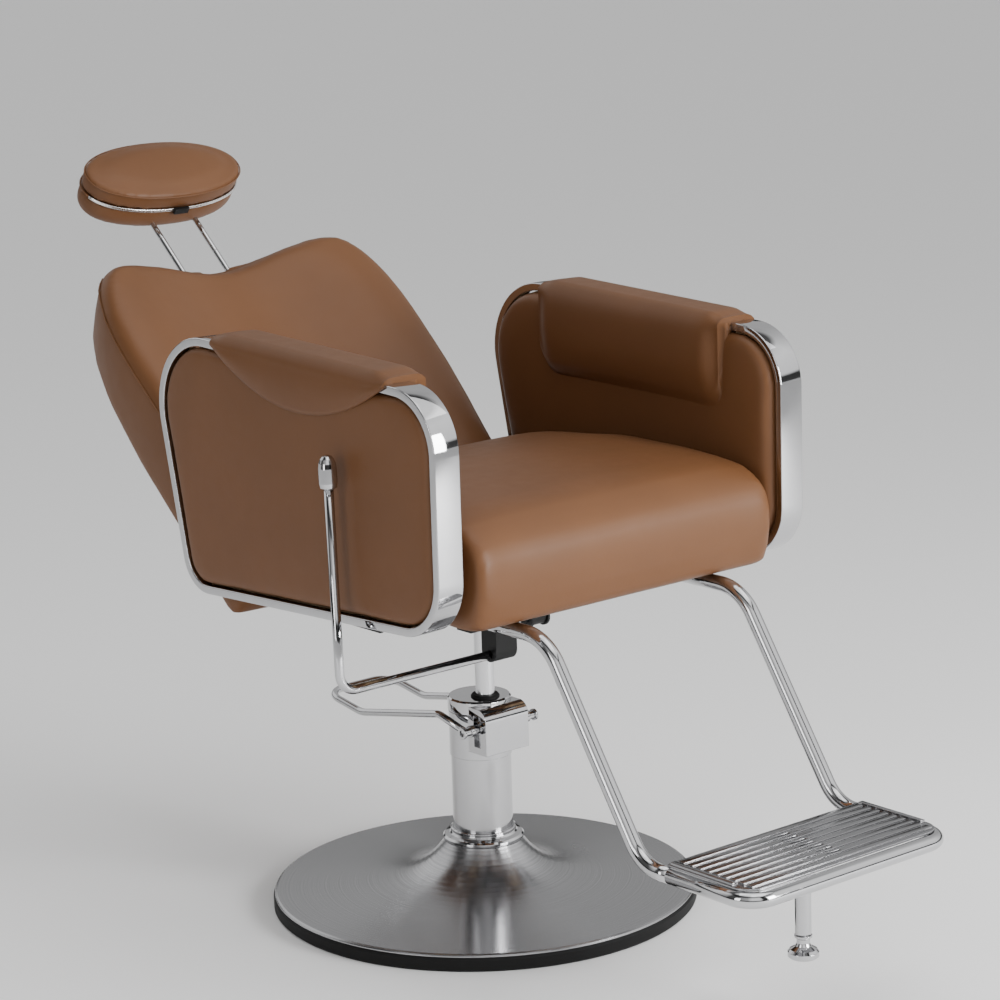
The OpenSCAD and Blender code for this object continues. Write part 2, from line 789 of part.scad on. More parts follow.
module lever_rod() {
    color("silver") on_lever() bent_rod([[-58, 0], [-lever_half, 0],
        [-lever_half, lever_high - 30]], [0, 26, 0], lever_d, $fn = 40);
}

module lever_knob() {
    color("silver") on_lever() translate([-lever_half, lever_high - 46, 0]) rotate([-90, 0, 0])
        difference() {
            rotate_extrude($fn = 48) polygon([[0, 0], [9, 0], [11.5, 2], [12.5, 8], [12.5, 28],
                [11.6, 35], [9.6, 40.5], [6.5, 44.4], [3, 46], [0, 46]]);
            translate([0, 0, -1]) cylinder(h = 17, d = lever_d);
        }
}

base_cover();
base_plate();
base_ring();
base_collar();
column_sleeve();
column_flange();
pump_cylinder();
pump_cap();
ram_seal();
ram();
ram_piston();
swivel_socket();
seat_plate();
plate_bolts();
seat_frame();
seat_board();
seat_cushion();
lever_bracket();
gas_bracket();
hinge_brackets();
hinge_pins();
arm_frame();  // arm_frame_left
mirror([1, 0, 0]) arm_frame();  // arm_frame_right
arm_outer();  // arm_outer_left
mirror([1, 0, 0]) arm_outer();  // arm_outer_right
arm_core();  // arm_core_left
mirror([1, 0, 0]) arm_core();  // arm_core_right
arm_inner_pad();  // arm_inner_left
mirror([1, 0, 0]) arm_inner_pad();  // arm_inner_right
arm_pad();  // arm_pad_left
mirror([1, 0, 0]) arm_pad();  // arm_pad_right
arm_bracket();  // arm_bracket_left
mirror([1, 0, 0]) arm_bracket();  // arm_bracket_right
footrest_tube();  // footrest_tube_left
mirror([1, 0, 0]) footrest_tube();  // footrest_tube_right
footrest_loop();
footrest_plate();
footrest_clamps();
foot_pole();
foot_bell();
back_cushion();
back_shell();
back_board();
back_frame();
back_brackets();
rod_bezels();
headrest_rods();
headrest_crossbar();
headrest_front();
headrest_rear();
headrest_piping();
headrest_clip();
gas_cylinder();
gas_rod();
lever_rod();
lever_knob();
pedal_loop();
pedal_pin();
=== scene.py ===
"""Hydraulic barber chair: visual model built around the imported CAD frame. Metres, +Z up, the
sitter faces -Y. Soft pieces replace their plain CAD solids; rods and chrome bars are swept."""
import json
import math

import bmesh
import bpy
import numpy as np
from mathutils import Matrix, Vector


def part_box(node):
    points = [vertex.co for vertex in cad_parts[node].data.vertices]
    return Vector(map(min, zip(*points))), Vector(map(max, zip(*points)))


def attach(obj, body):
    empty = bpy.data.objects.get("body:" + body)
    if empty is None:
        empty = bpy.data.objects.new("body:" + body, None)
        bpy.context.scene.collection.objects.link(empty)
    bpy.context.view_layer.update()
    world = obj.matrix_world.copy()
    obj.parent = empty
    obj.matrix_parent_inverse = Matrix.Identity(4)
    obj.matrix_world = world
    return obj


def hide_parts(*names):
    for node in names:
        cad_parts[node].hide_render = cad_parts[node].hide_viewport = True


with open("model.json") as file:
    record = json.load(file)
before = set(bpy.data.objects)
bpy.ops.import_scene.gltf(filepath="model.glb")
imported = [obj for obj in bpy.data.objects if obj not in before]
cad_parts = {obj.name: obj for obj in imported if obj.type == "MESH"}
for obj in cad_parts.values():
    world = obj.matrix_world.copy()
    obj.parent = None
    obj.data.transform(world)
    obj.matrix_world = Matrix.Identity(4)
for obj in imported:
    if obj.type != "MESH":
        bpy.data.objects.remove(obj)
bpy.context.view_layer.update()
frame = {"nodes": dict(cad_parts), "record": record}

JOINTS = {j["name"]: j for j in frame["record"]["behaviour"]["joints"]}

# ---------------------------------------------------------------- places from the frame
HINGE = Vector(JOINTS["recline"]["pos_m"])
HEAD_AXIS = Vector(JOINTS["headrest_tilt"]["pos_m"])
LEVER_AXIS = Vector(JOINTS["recline_lever"]["pos_m"])
PEDAL_AXIS = Vector(JOINTS["pump_pedal"]["pos_m"])
UP_BACK = Vector(JOINTS["headrest_slide"]["axis"]).normalized()
RECLINE = math.atan2(UP_BACK.y, UP_BACK.z)
HEAD_LEAN = math.radians(7)
LEVER_LEAN = math.radians(1.6)
ARM_LOW, ARM_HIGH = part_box("arm_frame_left")
SEAT_LOW, SEAT_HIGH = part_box("seat_cushion")
TUBE_LOW, TUBE_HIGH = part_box("footrest_tube_left")
LOOP_LOW, LOOP_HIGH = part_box("footrest_loop")
INNER_LOW, INNER_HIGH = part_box("arm_inner_left")
OUTER_LOW, OUTER_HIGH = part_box("arm_outer_left")
PAD_LOW, PAD_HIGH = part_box("arm_pad_left")

# Corners of the arm loop seen from the side, as (y, z), with their outer radii
ARM_CORNERS = [(-0.334, 0.842), (0.319, 0.864), (0.241, 0.486), (-0.334, 0.515)]
ARM_RADII = [0.085, 0.110, 0.055, 0.080]
ARM_SLOPE = ((ARM_CORNERS[1][1] - ARM_CORNERS[0][1])
             / (ARM_CORNERS[1][0] - ARM_CORNERS[0][0]))
BAR = 0.012                # thickness of the arm loop's bar
CLOTH_FRAMES = 20
SPREAD = 0.6               # share of a point's motion that comes from its neighbours
SKIN_GAP = 0.00015         # what a swept tube stays inside its CAD solid's box


# ---------------------------------------------------------------- small geometry helpers
def smooth(t):
    """Eases from 0 to 1 and holds outside that range."""
    t = min(1.0, max(0.0, t))
    return t * t * (3 - 2 * t)


def along(points, value):
    """Value at a position, on straight lines between (position, value) pairs."""
    if value <= points[0][0]:
        return points[0][1]
    for (a, va), (b, vb) in zip(points, points[1:]):
        if value <= b:
            return va + (vb - va) * (value - a) / (b - a)
    return points[-1][1]


def curve_through(points, steps):
    """Catmull-Rom points through a closed list."""
    count = len(points)
    out = []
    for i in range(count):
        p = [points[(i + k - 1) % count] for k in range(4)]
        for s in range(steps):
            t = s / steps
            out.append(tuple(0.5 * ((2 * b) + (c - a) * t + (2 * a - 5 * b + 4 * c - d) * t * t
                                    + (3 * b - a - 3 * c + d) * t ** 3)
                             for a, b, c, d in zip(*p)))
    return out


def fillet_path(points, radii, steps=12, closed=False):
    """Straight lines joined by round bends, as a list of points."""
    pts = [Vector(p) for p in points]
    count = len(pts)
    out = []
    for i, p in enumerate(pts):
        if not closed and i in (0, count - 1):
            out.append(p)
            continue
        u = (pts[i - 1] - p).normalized()
        v = (pts[(i + 1) % count] - p).normalized()
        half = u.angle(v) / 2
        centre = p + (u + v).normalized() * (radii[i] / math.sin(half))
        start = p + u * (radii[i] / math.tan(half)) - centre
        end = p + v * (radii[i] / math.tan(half)) - centre
        sweep_angle = start.angle(end)
        for k in range(steps + 1):
            t = k / steps
            out.append(centre + (start * math.sin((1 - t) * sweep_angle)
                                 + end * math.sin(t * sweep_angle)) / math.sin(sweep_angle))
    return out


def inset_corners(corners, distance):
    """Corners of the same outline moved inwards."""
    out = []
    for i, c in enumerate(corners):
        p = Vector(c)
        u = (Vector(corners[i - 1]) - p).normalized()
        v = (Vector(corners[(i + 1) % len(corners)]) - p).normalized()
        half = u.angle(v) / 2
        out.append(tuple(p + (u + v).normalized() * (distance / math.sin(half))))
    return out


def arm_outline(distance, steps=12):
    """The loop's outline moved inwards, as (y, z) points."""
    radii = [r - distance for r in ARM_RADII]
    path = fillet_path(inset_corners(ARM_CORNERS, distance), radii, steps, True)
    return [tuple(p) for p in path]


def new_object(name, mesh):
    obj = bpy.data.objects.new(name, mesh)
    bpy.context.scene.collection.objects.link(obj)
    return obj


def shade_smooth(mesh):
    for p in mesh.polygons:
        p.use_smooth = True


def mesh_object(name, verts, faces):
    """An object with merged corners, outward faces and smooth shading."""
    mesh = bpy.data.meshes.new(name)
    mesh.from_pydata([tuple(v) for v in verts], [], faces)
    bm = bmesh.new()
    bm.from_mesh(mesh)
    bmesh.ops.remove_doubles(bm, verts=bm.verts, dist=1e-6)
    bmesh.ops.recalc_face_normals(bm, faces=bm.faces)
    bm.to_mesh(mesh)
    bm.free()
    shade_smooth(mesh)
    return new_object(name, mesh)


def loft(name, rings, close_ends=True):
    """Joins rings of equal length into a skin, with a fan of faces over each open end."""
    verts, faces = [], []
    count = len(rings[0])
    for ring in rings:
        verts += [Vector(p) for p in ring]
    for r in range(len(rings) - 1):
        for i in range(count):
            j = (i + 1) % count
            faces.append((r * count + i, r * count + j, (r + 1) * count + j, (r + 1) * count + i))
    if close_ends:
        for r in (0, len(rings) - 1):
            centre = sum((Vector(p) for p in rings[r]), Vector()) / count
            verts.append(centre)
            for i in range(count):
                faces.append((r * count + i, r * count + (i + 1) % count, len(verts) - 1))
    return mesh_object(name, verts, faces)


def sweep(name, points, section, closed=False, twist_axis=None):
    """Sweeps a section, given as (out, side) pairs, along a line of points."""
    pts = [Vector(p) for p in points]
    count = len(pts)
    rings = []
    normal = None
    for i, p in enumerate(pts):
        before = pts[i - 1] if (i or closed) else p
        after = pts[(i + 1) % count] if (i < count - 1 or closed) else p
        tangent = (after - before).normalized()
        if twist_axis is not None:
            side = Vector(twist_axis)
            normal = tangent.cross(side).normalized()
        else:
            if normal is None:
                guess = Vector((0, 0, 1)) if abs(tangent.z) < 0.9 else Vector((1, 0, 0))
                normal = (guess - tangent * guess.dot(tangent)).normalized()
            else:
                normal = (normal - tangent * normal.dot(tangent)).normalized()
            side = tangent.cross(normal)
        rings.append([p + normal * a + side * b for a, b in section])
    if closed:
        rings.append(rings[0])
    return loft(name, rings, close_ends=not closed)


def round_section(radius, steps):
    return [(radius * math.cos(2 * math.pi * k / steps), radius * math.sin(2 * math.pi * k / steps))
            for k in range(steps)]


def bar_section(thick, wide, bevel, steps=4):
    """A flat bar's section with softened edges."""
    out = []
    for cx, cy, start in ((1, 1, 0), (-1, 1, 90), (-1, -1, 180), (1, -1, 270)):
        for k in range(steps + 1):
            a = math.radians(start + 90 * k / steps)
            out.append((cx * (thick / 2 - bevel) + bevel * math.cos(a),
                        cy * (wide / 2 - bevel) + bevel * math.sin(a)))
    return out


def pad_mesh(name, outline, x0, x1, r0, r1, crown0, crown1, place, rows=7, edge=6):
    """A padded panel: a closed outline with thickness from x0 to x1, round edges of radius r0
    and r1, and faces that crown outwards. place turns (a, b, x) into a point on the chair."""
    n = len(outline)
    cx = sum(p[0] for p in outline) / n
    cy = sum(p[1] for p in outline) / n
    normals = []
    for i in range(n):
        a, b = outline[i - 1], outline[(i + 1) % n]
        t = Vector((b[0] - a[0], b[1] - a[1])).normalized()
        m = Vector((t.y, -t.x))
        if m.dot(Vector((outline[i][0] - cx, outline[i][1] - cy))) < 0:
            m = -m
        normals.append(m)

    def ring(inward, scale, x):
        out = []
        for p, m in zip(outline, normals):
            a, b = p[0] - m.x * inward, p[1] - m.y * inward
            out.append(place(cx + (a - cx) * scale, cy + (b - cy) * scale, x))
        return out

    rings = []
    for k in range(1, rows + 1):
        s = k / (rows + 1)
        rings.append(ring(r0, s, x0 - crown0 * (1 - s * s)))
    for k in range(edge + 1):
        a = math.pi / 2 * k / edge
        rings.append(ring(r0 * (1 - math.sin(a)), 1, x0 + r0 * (1 - math.cos(a))))
    for k in range(edge + 1):
        a = math.pi / 2 * k / edge
        rings.append(ring(r1 * (1 - math.cos(a)), 1, x1 - r1 * (1 - math.sin(a))))
    for k in range(rows, 0, -1):
        s = k / (rows + 1)
        rings.append(ring(r1, s, x1 + crown1 * (1 - s * s)))
    return loft(name, rings)


def mirrored(obj, name):
    """The same piece on the other side of the chair."""
    mesh = obj.data.copy()
    mesh.transform(Matrix.Scale(-1, 4, Vector((1, 0, 0))))
    mesh.flip_normals()
    return new_object(name, mesh)


def subdivide(obj):
    mod = obj.modifiers.new("subdivision", "SUBSURF")
    mod.levels = 1
    mod.render_levels = 1
    return obj


def puff(obj, voxel=0.007, cap=0.008, pressure=4.0, held=None, spread=30):
    """Swells a padded piece with the cloth solver: the skin is remeshed, filled with pressure
    and let move by no more than cap. The motion is spread over the neighbouring skin, so taut
    leather keeps no small dents. held(point) gives the part of the motion a point loses. With
    no voxel size the piece keeps its own mesh."""
    scene = bpy.context.scene
    if voxel:
        remesh = obj.modifiers.new("remesh", "REMESH")
        remesh.mode = "VOXEL"
        remesh.voxel_size = voxel
        apply_modifiers(obj)
        smooth_mesh(obj, 2)
    start = positions(obj.data)
    cloth = obj.modifiers.new("cloth", "CLOTH")
    s = cloth.settings
    s.quality = 4
    s.mass = 0.4
    s.tension_stiffness = 25
    s.compression_stiffness = 25
    s.shear_stiffness = 8
    s.bending_stiffness = 2.5
    s.use_pressure = True
    s.uniform_pressure_force = pressure
    s.effector_weights.gravity = 0
    cloth.collision_settings.use_collision = False
    cloth.point_cache.frame_start = 1
    cloth.point_cache.frame_end = CLOTH_FRAMES
    for f in range(1, CLOTH_FRAMES + 1):
        scene.frame_set(f)
    deps = bpy.context.evaluated_depsgraph_get()
    move = positions(obj.evaluated_get(deps).data) - start
    obj.modifiers.remove(cloth)
    scene.frame_set(1)
    length = np.linalg.norm(move, axis=1)
    move *= np.minimum(1, cap / np.maximum(length, 1e-9))[:, None]
    if held:
        move *= np.array([1 - held(Vector(p)) for p in start])[:, None]
    ends = np.empty(len(obj.data.edges) * 2, dtype=np.int32)
    obj.data.edges.foreach_get("vertices", ends)
    near, far = np.concatenate([ends[::2], ends[1::2]]), np.concatenate([ends[1::2], ends[::2]])
    count = np.maximum(1, np.bincount(near, minlength=len(start)))
    for _ in range(spread):
        mean = np.stack([np.bincount(near, weights=move[far, k], minlength=len(start)) / count
                         for k in range(3)], axis=1)
        move = (1 - SPREAD) * move + SPREAD * mean
    obj.data.vertices.foreach_set("co", (start + move).ravel())
    obj.data.update()
    return subdivide(obj) if voxel else obj


def positions(mesh):
    """The mesh's points as an array with one row each."""
    out = np.empty(len(mesh.vertices) * 3)
    mesh.vertices.foreach_get("co", out)
    return out.reshape(-1, 3)


def smooth_mesh(obj, times):
    bm = bmesh.new()
    bm.from_mesh(obj.data)
    for _ in range(times):
        bmesh.ops.smooth_vert(bm, verts=bm.verts, factor=0.5, use_axis_x=True, use_axis_y=True,
                              use_axis_z=True)
    bm.to_mesh(obj.data)
    bm.free()
    shade_smooth(obj.data)


def apply_modifiers(obj):
    deps = bpy.context.evaluated_depsgraph_get()
    mesh = bpy.data.meshes.new_from_object(obj.evaluated_get(deps))
    obj.modifiers.clear()
    old = obj.data
    obj.data = mesh
    bpy.data.meshes.remove(old)
    shade_smooth(mesh)


# ---------------------------------------------------------------- materials
def nodes_of(name):
    """A new material, its node tree and its shader."""
    mat = bpy.data.materials.new(name)
    mat.use_nodes = True
    tree = mat.node_tree
    return mat, tree, tree.nodes["Principled BSDF"]


def add(tree, kind, **values):
    """A node with its properties or constant inputs set."""
    node = tree.nodes.new(kind)
    for key, value in values.items():
        if hasattr(node, key):
            setattr(node, key, value)
        else:
            node.inputs[key.replace("_", " ")].default_value = value
    return node


def ramp(tree, source, low, high, low_colour, high_colour):
    """Two-colour ramp over a factor, from low to high."""
    node = tree.nodes.new("ShaderNodeValToRGB")
    node.color_ramp.elements[0].position = low
    node.color_ramp.elements[1].position = high
    node.color_ramp.elements[0].color = (*low_colour, 1)
    node.color_ramp.elements[1].color = (*high_colour, 1)
    tree.links.new(source, node.inputs["Fac"])
    return node.outputs["Color"]


def scaled(colour, k):
    return tuple(min(1.0, c * k) for c in colour)


def leather(name, colour, shade=0.06):
    """Smooth upholstery leather: fine pebble grain, slow colour drift, softly worn sheen."""
    mat, tree, shader = nodes_of(name)
    link = tree.links.new
    coords = tree.nodes.new("ShaderNodeTexCoord").outputs["Object"]
    drift = add(tree, "ShaderNodeTexNoise", Scale=7.0, Detail=4.0, Roughness=0.55)
    link(coords, drift.inputs["Vector"])
    link(ramp(tree, drift.outputs["Fac"], 0.3, 0.72, scaled(colour, 1 - shade),
              scaled(colour, 1 + shade)), shader.inputs["Base Color"])
    grain = add(tree, "ShaderNodeTexVoronoi", Scale=520.0)
    grain.feature = "SMOOTH_F1"
    grain.inputs["Smoothness"].default_value = 0.6
    warp = add(tree, "ShaderNodeTexNoise", Scale=180.0, Detail=3.0)
    link(coords, warp.inputs["Vector"])
    mix = tree.nodes.new("ShaderNodeMix")
    mix.data_type = "VECTOR"
    mix.inputs["Factor"].default_value = 0.012
    link(coords, mix.inputs["A"])
    link(warp.outputs["Color"], mix.inputs["B"])
    link(mix.outputs["Result"], grain.inputs["Vector"])
    soft = add(tree, "ShaderNodeTexNoise", Scale=45.0, Detail=3.0)
    link(coords, soft.inputs["Vector"])
    wear = tree.nodes.new("ShaderNodeMapRange")
    link(soft.outputs["Fac"], wear.inputs["Value"])
    wear.inputs["To Min"].default_value = 0.40
    wear.inputs["To Max"].default_value = 0.52
    link(wear.outputs["Result"], shader.inputs["Roughness"])
    crease = add(tree, "ShaderNodeBump", Strength=0.05, Distance=0.002)
    link(soft.outputs["Fac"], crease.inputs["Height"])
    bump = add(tree, "ShaderNodeBump", Strength=0.16, Distance=0.0004)
    link(grain.outputs["Distance"], bump.inputs["Height"])
    link(crease.outputs["Normal"], bump.inputs["Normal"])
    link(bump.outputs["Normal"], shader.inputs["Normal"])
    shader.inputs["Specular IOR Level"].default_value = 0.30
    return mat


def metal(name, colour, low, high, scale=60.0, bump_strength=0.02):
    """Plated or ground steel whose polish varies a little from place to place."""
    mat, tree, shader = nodes_of(name)
    link = tree.links.new
    coords = tree.nodes.new("ShaderNodeTexCoord").outputs["Object"]
    haze = add(tree, "ShaderNodeTexNoise", Scale=scale, Detail=5.0, Roughness=0.6)
    link(coords, haze.inputs["Vector"])
    link(ramp(tree, haze.outputs["Fac"], 0.3, 0.7, scaled(colour, 0.96), colour),
         shader.inputs["Base Color"])
    rough = tree.nodes.new("ShaderNodeMapRange")
    link(haze.outputs["Fac"], rough.inputs["Value"])
    rough.inputs["From Min"].default_value = 0.3
    rough.inputs["From Max"].default_value = 0.75
    rough.inputs["To Min"].default_value = low
    rough.inputs["To Max"].default_value = high
    link(rough.outputs["Result"], shader.inputs["Roughness"])
    bump = add(tree, "ShaderNodeBump", Strength=bump_strength, Distance=0.0005)
    link(haze.outputs["Fac"], bump.inputs["Height"])
    edge = tree.nodes.new("ShaderNodeBevel")
    edge.samples = 4
    edge.inputs["Radius"].default_value = 0.0012
    link(edge.outputs["Normal"], bump.inputs["Normal"])
    link(bump.outputs["Normal"], shader.inputs["Normal"])
    shader.inputs["Metallic"].default_value = 1.0
    return mat


def spun_steel(name, colour):
    """Turned base cover: fine rings around the axis in the polish and in the surface."""
    mat, tree, shader = nodes_of(name)
    link = tree.links.new
    coords = tree.nodes.new("ShaderNodeTexCoord").outputs["Object"]
    flat = tree.nodes.new("ShaderNodeVectorMath")
    flat.operation = "MULTIPLY"
    flat.inputs[1].default_value = (1, 1, 0)
    link(coords, flat.inputs[0])
    radius = tree.nodes.new("ShaderNodeVectorMath")
    radius.operation = "LENGTH"
    link(flat.outputs["Vector"], radius.inputs[0])
    rings = add(tree, "ShaderNodeTexNoise", Scale=420.0, Detail=3.0, Roughness=0.7)
    rings.noise_dimensions = "1D"
    link(radius.outputs["Value"], rings.inputs["W"])
    haze = add(tree, "ShaderNodeTexNoise", Scale=9.0, Detail=4.0)
    link(coords, haze.inputs["Vector"])
    link(ramp(tree, rings.outputs["Fac"], 0.3, 0.7, scaled(colour, 0.82), colour),
         shader.inputs["Base Color"])
    rough = tree.nodes.new("ShaderNodeMapRange")
    link(haze.outputs["Fac"], rough.inputs["Value"])
    rough.inputs["To Min"].default_value = 0.20
    rough.inputs["To Max"].default_value = 0.30
    link(rough.outputs["Result"], shader.inputs["Roughness"])
    bump = add(tree, "ShaderNodeBump", Strength=0.10, Distance=0.0004)
    link(rings.outputs["Fac"], bump.inputs["Height"])
    link(bump.outputs["Normal"], shader.inputs["Normal"])
    tangent = tree.nodes.new("ShaderNodeTangent")
    tangent.direction_type = "RADIAL"
    tangent.axis = "Z"
    link(tangent.outputs["Tangent"], shader.inputs["Tangent"])
    shader.inputs["Anisotropic"].default_value = 0.85
    shader.inputs["Anisotropic Rotation"].default_value = 0.25
    shader.inputs["Metallic"].default_value = 1.0
    return mat


def plain(name, colour, roughness, grain=400.0, strength=0.15):
    """Moulded plastic, rubber or paint, with a fine tooth and uneven gloss."""
    mat, tree, shader = nodes_of(name)
    link = tree.links.new
    coords = tree.nodes.new("ShaderNodeTexCoord").outputs["Object"]
    noise = add(tree, "ShaderNodeTexNoise", Scale=grain, Detail=4.0)
    link(coords, noise.inputs["Vector"])
    broad = add(tree, "ShaderNodeTexNoise", Scale=14.0, Detail=3.0)
    link(coords, broad.inputs["Vector"])
    link(ramp(tree, broad.outputs["Fac"], 0.3, 0.7, scaled(colour, 0.85), scaled(colour, 1.15)),
         shader.inputs["Base Color"])
    rough = tree.nodes.new("ShaderNodeMapRange")
    link(broad.outputs["Fac"], rough.inputs["Value"])
    rough.inputs["To Min"].default_value = roughness - 0.06
    rough.inputs["To Max"].default_value = roughness + 0.08
    link(rough.outputs["Result"], shader.inputs["Roughness"])
    bump = add(tree, "ShaderNodeBump", Strength=strength, Distance=0.0005)
    link(noise.outputs["Fac"], bump.inputs["Height"])
    link(bump.outputs["Normal"], shader.inputs["Normal"])
    shader.inputs["Specular IOR Level"].default_value = 0.22
    return mat


def plywood(name):
    """Pale board with drawn-out wavy grain."""
    mat, tree, shader = nodes_of(name)
    link = tree.links.new
    coords = tree.nodes.new("ShaderNodeTexCoord").outputs["Object"]
    grain = add(tree, "ShaderNodeTexWave", Scale=18.0, Distortion=6.0, Detail=4.0)
    link(coords, grain.inputs["Vector"])
    link(ramp(tree, grain.outputs["Fac"], 0.1, 0.9, (0.34, 0.21, 0.11), (0.55, 0.38, 0.22)),
         shader.inputs["Base Color"])
    bump = add(tree, "ShaderNodeBump", Strength=0.2, Distance=0.0006)
    link(grain.outputs["Fac"], bump.inputs["Height"])
    link(bump.outputs["Normal"], shader.inputs["Normal"])
    shader.inputs["Roughness"].default_value = 0.7
    return mat


BROWN = (0.135, 0.056, 0.0205)
LEATHER = leather("brown_leather", BROWN)
ZIP = metal("zip_chrome", (0.80, 0.79, 0.78), 0.22, 0.34, 300.0, 0.2)
CHROME = metal("polished_chrome", (0.56, 0.56, 0.57), 0.03, 0.08, 60.0, 0.004)
SATIN = metal("plate_chrome", (0.34, 0.34, 0.35), 0.16, 0.26, 90.0, 0.006)
STEEL = metal("ram_steel", (0.70, 0.70, 0.71), 0.14, 0.26, 150.0, 0.04)
BASE = spun_steel("spun_base", (0.42, 0.42, 0.43))
RUBBER = plain("black_rubber", (0.005, 0.005, 0.005), 0.6)
IRON = plain("cast_iron", (0.05, 0.05, 0.05), 0.7, 120.0, 0.5)
PAINT = plain("black_paint", (0.010, 0.010, 0.010), 0.38, 300.0, 0.08)
PLASTIC = plain("black_plastic", (0.006, 0.006, 0.006), 0.42, 500.0, 0.2)
WOOD = plywood("plywood")

SLOT_MATERIALS = {"polished_chrome": CHROME, "ram_steel": STEEL, "black_rubber": RUBBER,
                  "cast_iron": IRON, "black_steel": PAINT, "black_plastic": PLASTIC,
                  "plywood": WOOD, "brown_leather": LEATHER}
NODE_MATERIALS = {"base_cover": BASE, "footrest_plate": SATIN}


def dress_nodes():
    """Gives every CAD node its finish, with smooth shading across its round faces."""
    slots = {p["node"]: p["material_slot"] for p in frame["record"]["subparts"]}
    for name, obj in frame["nodes"].items():
        mat = NODE_MATERIALS.get(name, SLOT_MATERIALS[slots[name]])
        obj.data.materials.clear()
        obj.data.materials.append(mat)
        shade_smooth(obj.data)
        for p in obj.data.polygons:
            p.material_index = 0
        obj.data.set_sharp_from_angle(angle=math.radians(32))


def finish_piece(obj, body, material, slot_name, *nodes):
    """Gives a piece its material and puts it on its body, in place of the CAD nodes it stands for.
    """
    obj.data.materials.clear()
    obj.data.materials.append(material)
    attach(obj, body)
    if nodes:
        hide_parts(*nodes)
    return obj


def cushion(obj, body, *nodes, fill):
    """A padded leather piece."""
    finish_piece(obj, body, LEATHER, "brown_leather", *nodes)
    return obj


def welt(name, points, body, radius, closed=True):
    """A raised seam that follows a line of points."""
    obj = sweep(name, points, round_section(radius, 8), closed)
    return finish_piece(obj, body, LEATHER, "brown_leather")


# ---------------------------------------------------------------- chrome bars and rods
def chrome_tube(name, points, radii, diameter, body, *nodes):
    """A bent round rod along straight runs with the given bend radii."""
    obj = sweep(name, fillet_path(points, radii, 16), round_section(diameter / 2, 32))
    return finish_piece(obj, body, CHROME, "polished_chrome", *nodes)


def build_arm_loops():
    width = ARM_HIGH[0] - ARM_LOW[0]
    x = (ARM_HIGH[0] + ARM_LOW[0]) / 2
    line = [Vector((x, y, z)) for y, z in arm_outline(BAR / 2, 20)]
    for side, name in ((1, "left"), (-1, "right")):
        pts = [Vector((p.x * side, p.y, p.z)) for p in line]
        obj = sweep("arm_loop_" + name, pts, bar_section(BAR, width, 0.0016), True, (1, 0, 0))
        finish_piece(obj, "seat", CHROME, "polished_chrome", "arm_frame_" + name)


def build_footrest_tubes():
    """Two legs from under the seat to the plate, and the ring that runs round the plate."""
    x = (TUBE_HIGH[0] + TUBE_LOW[0]) / 2
    d = TUBE_HIGH[0] - TUBE_LOW[0] - 2 * SKIN_GAP
    rear = TUBE_HIGH[1]
    top = TUBE_HIGH[2] - d / 2 - SKIN_GAP
    low = TUBE_LOW[2] + d / 2 + SKIN_GAP
    front = LOOP_LOW[1] + d / 2 + SKIN_GAP
    bend_front = LOOP_HIGH[1]
    knee_y, ankle_y = -0.364, -0.546
    knee_bend, ankle_bend, ring_bend = 0.075, 0.060, 0.034
    for side, name in ((1, "left"), (-1, "right")):
        chrome_tube("footrest_leg_" + name,
                    [(side * x, rear, top), (side * x, knee_y, top), (side * x, ankle_y, low),
                     (side * x, bend_front, low)],
                    [0, knee_bend, ankle_bend, 0], d, "seat", "footrest_tube_" + name)
    chrome_tube("footrest_ring", [(-x, bend_front, low), (-x, front, low), (x, front, low),
                                  (x, bend_front, low)], [0, ring_bend, ring_bend, 0], d, "seat",
                "footrest_loop")


def build_pedal():
    """One bent rod: out from the pin, back past the column on both sides and round its end."""
    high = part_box("pedal_loop")[1]
    d = 0.011
    x = high[0] - d / 2 - SKIN_GAP
    end_y = high[1] - d / 2
    hip_y, hip_z = 0.020, 0.288
    dip_y, dip_z = 0.205, 0.252
    tip_y, tip_z = 0.250, 0.259
    end_z = tip_z + (end_y - tip_y) * (tip_z - dip_z) / (tip_y - dip_y)
    near = [(-x, PEDAL_AXIS.y, PEDAL_AXIS.z), (-x, hip_y, hip_z), (-x, dip_y, dip_z),
            (-x, end_y, end_z)]
    far = [(-p[0], p[1], p[2]) for p in reversed(near)]
    chrome_tube("pedal_rod", near + far, [0, 0.030, 0.060, 0.032, 0.032, 0.060, 0.030, 0], d,
                "pedal", "pedal_loop")


def build_lever():
    """One rod: outwards from the housing, then up beside the arm and into the knob."""
    low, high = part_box("lever_rod")
    knob_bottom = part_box("lever_knob")[0][2]
    d = 0.013
    into_knob = 0.012
    x = low[0] + d / 2
    lean = Vector((0, math.sin(LEVER_LEAN), math.cos(LEVER_LEAN)))
    base = Vector((x, LEVER_AXIS.y, LEVER_AXIS.z))
    top = base + lean * ((knob_bottom + into_knob - base.z) / lean.z)
    chrome_tube("lever_arm", [(high[0], base.y, base.z), base, top], [0, 0.026, 0], d, "lever",
                "lever_rod")


# ---------------------------------------------------------------- upholstery
BACK_FRAME = (Matrix.Translation(HINGE) @ Matrix.Rotation(-RECLINE, 4, "X"))
BACK_LOW = -0.079
BACK_TOP = 0.488
WING_Y = -0.025
HOLLOW = 0.038             # how far the middle of the front lies behind its wings
TAIL = 0.016               # how far the rear of the lower edge hangs below its front
